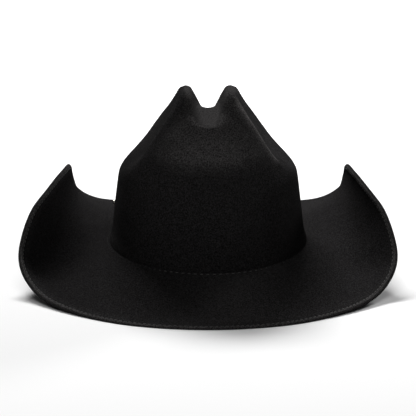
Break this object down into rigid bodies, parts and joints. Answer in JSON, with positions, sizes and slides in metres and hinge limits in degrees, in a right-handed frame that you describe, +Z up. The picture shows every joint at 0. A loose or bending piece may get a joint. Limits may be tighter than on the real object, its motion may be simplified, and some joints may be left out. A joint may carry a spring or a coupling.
{
  "type": "western cattleman hat",
  "caption": "Black felt western hat with a centre crease, side dents, rolled-up brim sides, an inner sweatband and a small plain side pin.",
  "frame": {"origin": "on the surface that the hat stands on, below the middle of the head opening", "axes": "+Z up, -Y the front of the hat, +X the right-hand side as the front is seen"},
  "size_m": [0.3198, 0.3836, 0.1595],
  "materials": {
    "felt": "matte black felt with a short nap",
    "sweatband": "smooth black woven band",
    "pin": "polished"
  },
  "bodies": {
    "root": {"felt_body": "felt", "sweatband": "sweatband", "side_pin": "pin"}
  },
  "joints": []
}
